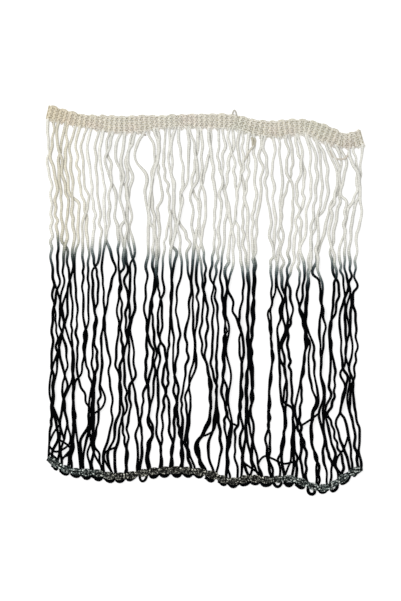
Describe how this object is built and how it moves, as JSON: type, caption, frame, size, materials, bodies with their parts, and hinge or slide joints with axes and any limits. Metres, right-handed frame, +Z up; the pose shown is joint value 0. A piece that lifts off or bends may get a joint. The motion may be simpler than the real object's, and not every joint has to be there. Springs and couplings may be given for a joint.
{
  "type": "fringe trim",
  "caption": "Dip-dyed loop fringe trim lying flat: ribbed knitted heading, long yarn loops shading from cream through blue-grey to black, and a stitched chain near their ends.",
  "frame": {"origin": "centre of the trim's outline, on the surface that it lies on", "axes": "+X along the trim to the right, +Y from the loops' ends up to the heading, +Z up out of the trim's face"},
  "size_m": [0.2643, 0.323, 0.0033],
  "materials": {
    "cream_knit": "matte knitted yarn",
    "dip_dyed_yarn": "matte chainette, cream at the heading, blue-grey between and black below",
    "chain_thread": "matte doubled thread in mixed greys"
  },
  "bodies": {
    "root": {"heading": "cream_knit", "fringe": "dip_dyed_yarn", "foot_chain": "chain_thread"}
  },
  "joints": []
}
